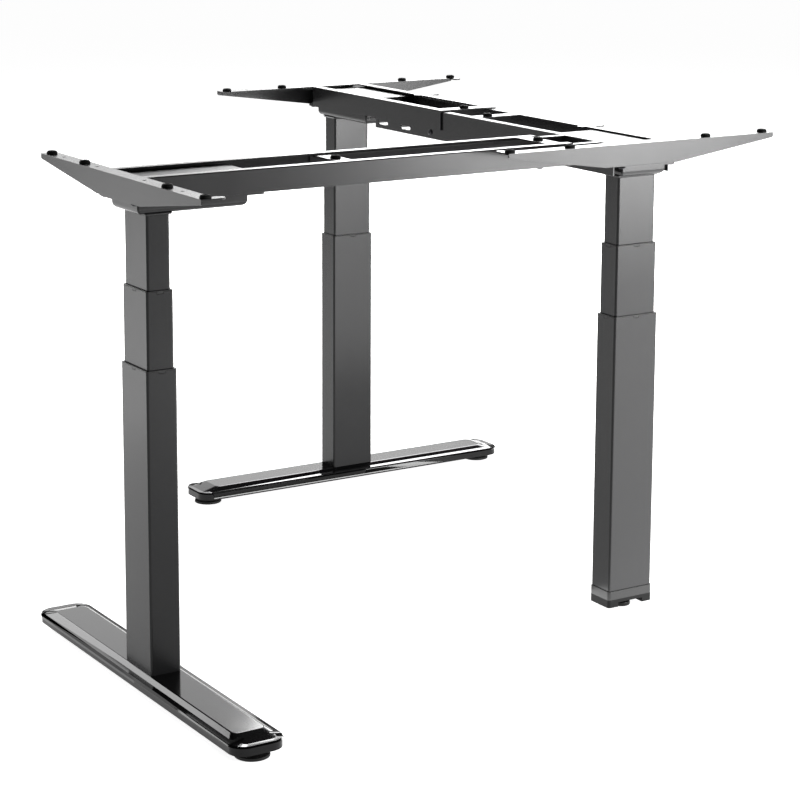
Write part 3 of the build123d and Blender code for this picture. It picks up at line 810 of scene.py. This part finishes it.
def add_inlet(leg):
    """Rubber grommet in the cover's inlet for the motor lead."""
    along = MOTOR_ALONG[leg]
    across = MOTOR_ACROSS[leg]
    centre = leg_centre(leg)
    spot = Vector((centre.x, centre.y, INLET_HEIGHT)) + along * INLET_ALONG + across * INLET_ACROSS
    mesh = bmesh.new()
    ring = revolve(mesh, GROMMET, 28)
    bmesh.ops.scale(mesh, vec=(INLET_SQUASH, 1, 1), verts=ring)
    turn = Matrix((
        (0, across.x, along.x, 0),
        (0, across.y, along.y, 0),
        (1, 0, 0, 0),
        (0, 0, 0, 1)))
    place(mesh, ring, Matrix.Translation(spot) @ turn)
    outwards(mesh)
    settle(f"lead_grommet_{leg}", mesh, HEADS[leg], RUBBER)


# ---------------------------------------------------------------- operators


class DeskFrameOperator(bpy.types.Operator):
    """Shared settings of the frame's operators."""

    bl_options = {"REGISTER", "UNDO"}


class OBJECT_OT_desk_columns(DeskFrameOperator):
    """Three telescopic columns of coated tube, with the weld under each head"""

    bl_idname = "desk_frame.columns"
    bl_label = "Columns"

    def execute(self, context):
        for leg in LEGS:
            soften("outer_tube_" + leg, SATIN, f"leg_{leg}_base")
            soften("mid_tube_" + leg, SATIN, f"leg_{leg}_mid")
            soften("inner_tube_" + leg, SATIN, HEADS[leg])
            add_weld(leg)
        return {"FINISHED"}


class OBJECT_OT_desk_glides(DeskFrameOperator):
    """Plastic glides with their lips and clips on the rims of the tubes"""

    bl_idname = "desk_frame.glides"
    bl_label = "Glides"

    def execute(self, context):
        for leg in LEGS:
            soften("outer_glide_" + leg, PLASTIC, f"leg_{leg}_base", cut=0.5 * MM)
            soften("mid_glide_" + leg, PLASTIC, f"leg_{leg}_mid", cut=0.5 * MM)
        return {"FINISHED"}


class OBJECT_OT_desk_heads(DeskFrameOperator):
    """Motor trays, covers and gear motors, with the grommets for their leads"""

    bl_idname = "desk_frame.heads"
    bl_label = "Heads"

    def execute(self, context):
        for leg in LEGS:
            soften("motor_tray_" + leg, SATIN, HEADS[leg])
            soften("motor_cover_" + leg, MATT, HEADS[leg])
            soften("gear_motor_" + leg, CAST, HEADS[leg], cut=1.0 * MM)
            add_inlet(leg)
        return {"FINISHED"}


class OBJECT_OT_desk_arms(DeskFrameOperator):
    """Tapered side arms folded from sheet"""

    bl_idname = "desk_frame.arms"
    bl_label = "Side arms"

    def execute(self, context):
        for leg in LEGS:
            soften("side_arm_" + leg, SATIN, HEADS[leg], folded=True)
        return {"FINISHED"}


class OBJECT_OT_desk_beams(DeskFrameOperator):
    """Nested rails, straps and slotted channels of the two beams"""

    bl_idname = "desk_frame.beams"
    bl_label = "Beams"

    def execute(self, context):
        for node, body in BEAM_HALVES.items():
            soften(node, SATIN, body, folded=True)
        return {"FINISHED"}


class OBJECT_OT_desk_feet(DeskFrameOperator):
    """Pressed feet, the corner leg's cap and the bolts under the feet"""

    bl_idname = "desk_frame.feet"
    bl_label = "Feet"

    def execute(self, context):
        for leg in FOOTED_LEGS:
            add_foot(leg)
            add_foot_fixings(leg)
        soften("base_cap_c", PLASTIC, "leg_c_base", cut=0.9 * MM)
        return {"FINISHED"}


class OBJECT_OT_desk_levellers(DeskFrameOperator):
    """Knurled levellers under the feet and the corner leg"""

    bl_idname = "desk_frame.levellers"
    bl_label = "Levellers"

    def execute(self, context):
        knurls = context.scene.desk_frame_sizes.knurls
        for spot in FOOT_SCREWS:
            add_leveller("leveller_" + spot, "foot_screw_" + spot, knurls)
        fewer = knurls * 2 // 3
        add_leveller("leveller_c", "foot_screw_c", fewer)
        return {"FINISHED"}


class OBJECT_OT_desk_pads(DeskFrameOperator):
    """Rubber pads on the arms and the beams"""

    bl_idname = "desk_frame.pads"
    bl_label = "Rubber pads"

    def execute(self, context):
        for leg in LEGS:
            add_pads(leg)
        return {"FINISHED"}


class OBJECT_OT_desk_bolts(DeskFrameOperator):
    """Socket-head bolts of the arms and the beams' locks"""

    bl_idname = "desk_frame.bolts"
    bl_label = "Bolts"

    def execute(self, context):
        for leg in LEGS:
            add_bolts(leg)
        return {"FINISHED"}


class OBJECT_OT_desk_drive(DeskFrameOperator):
    """Finishes of the lift screws and nut posts inside the columns"""

    bl_idname = "desk_frame.drive"
    bl_label = "Lift drive"

    def execute(self, context):
        for leg in LEGS:
            repaint("upper_screw_" + leg, "Lift screw steel")
            repaint("lower_screw_" + leg, "Lift screw steel")
            repaint("base_nut_post_" + leg, "Zinc plate")
            repaint("mid_nut_post_" + leg, "Zinc plate")
        return {"FINISHED"}


# Name of each light panel, its place, the point it faces, and its width and height.
PANELS = {
    "front": ("Front panel", (1.98, -2.75, 0.75), (0.2, 0.0, 0.5), (1.0, 1.1)),
    "left": ("Left panel", (-1.35, 0.9, 0.42), (-0.58, -0.3, 0.35), (0.55, 0.8)),
    "rear": ("Rear panel", (-0.9, 3.3, 2.15), (-0.5, 0.0, 0.0), (2.0, 1.0)),
    "low": ("Low panel", (1.0, -1.15, 0.02), (1.0, -1.15, 1.0), (1.6, 1.7)),
    "wash": ("Floor wash", (2.5, 2.6, 1.9), (2.2, 2.2, 0.0), (2.4, 2.4)),
    "backdrop": ("Backdrop", (1.6, 2.5, 1.15), (0.0, 0.0, 1.15), (4.0, 1.2)),
}
SENSOR_WIDTH = 36
FAR_CLIP = 100


def panel_light(name, place_at, aim, size, power):
    """Soft rectangular light that the camera itself doesn't see."""
    lamp = bpy.data.lights.new(name, "AREA")
    lamp.shape = "RECTANGLE"
    lamp.size, lamp.size_y = size
    lamp.energy = power
    holder = bpy.data.objects.new(name, lamp)
    holder.location = place_at
    holder.rotation_euler = (Vector(aim) - Vector(place_at)).to_track_quat("-Z", "Y").to_euler()
    holder.visible_camera = False
    bpy.context.scene.collection.objects.link(holder)


class OBJECT_OT_desk_stage(DeskFrameOperator):
    """Floor, pale surroundings, soft panels and the camera"""

    bl_idname = "desk_frame.stage"
    bl_label = "Stage"

    def execute(self, context):
        stage = context.scene.desk_frame_stage
        camera = bpy.data.cameras.new("Camera")
        camera.lens = stage.lens
        camera.sensor_width = SENSOR_WIDTH
        camera.shift_y = stage.rise
        camera.clip_end = FAR_CLIP
        holder = bpy.data.objects.new("Camera", camera)
        holder.rotation_euler = stage.camera_turn
        holder.location = stage.camera_place
        context.scene.collection.objects.link(holder)
        context.scene.camera = holder

        mesh = bmesh.new()
        bmesh.ops.create_grid(mesh, x_segments=1, y_segments=1, size=stage.floor / 2)
        data = bpy.data.meshes.new("floor")
        mesh.to_mesh(data)
        mesh.free()
        data.materials.append(finish("Pale floor"))
        floor = bpy.data.objects.new("floor", data)
        context.scene.collection.objects.link(floor)

        context.scene.world = pale_surroundings("Pale surroundings", *stage.sky)
        context.scene.view_settings.view_transform = "Standard"

        for setting, (name, spot, aim, size) in PANELS.items():
            panel_light(name, spot, aim, size, getattr(stage, setting))
        return {"FINISHED"}


STEPS = (
    OBJECT_OT_desk_columns,
    OBJECT_OT_desk_glides,
    OBJECT_OT_desk_heads,
    OBJECT_OT_desk_arms,
    OBJECT_OT_desk_beams,
    OBJECT_OT_desk_feet,
    OBJECT_OT_desk_levellers,
    OBJECT_OT_desk_pads,
    OBJECT_OT_desk_bolts,
    OBJECT_OT_desk_drive,
    OBJECT_OT_desk_stage,
)


class VIEW3D_PT_desk_frame(bpy.types.Panel):
    """Lists the frame's operators and settings"""

    bl_idname = "VIEW3D_PT_desk_frame"
    bl_label = "Desk Frame"
    bl_space_type = "VIEW_3D"
    bl_region_type = "UI"
    bl_category = "Desk Frame"

    def draw(self, context):
        for step in STEPS:
            self.layout.operator(step.bl_idname)
        for group in ("desk_frame_finishes", "desk_frame_sizes", "desk_frame_stage"):
            values = getattr(context.scene, group)
            box = self.layout.box()
            for key in values.__annotations__:
                box.prop(values, key)


CLASSES = (DeskFrameFinishes, DeskFrameSizes, DeskFrameStage, *STEPS, VIEW3D_PT_desk_frame)


def register():
    for made in CLASSES:
        bpy.utils.register_class(made)
    bpy.types.Scene.desk_frame_finishes = bpy.props.PointerProperty(type=DeskFrameFinishes)
    bpy.types.Scene.desk_frame_sizes = bpy.props.PointerProperty(type=DeskFrameSizes)
    bpy.types.Scene.desk_frame_stage = bpy.props.PointerProperty(type=DeskFrameStage)


def unregister():
    del bpy.types.Scene.desk_frame_stage
    del bpy.types.Scene.desk_frame_sizes
    del bpy.types.Scene.desk_frame_finishes
    for made in reversed(CLASSES):
        bpy.utils.unregister_class(made)


def main():
    register()
    for step in STEPS:
        group, name = step.bl_idname.split(".")
        getattr(getattr(bpy.ops, group), name)()


if __name__ == "__main__":
    main()
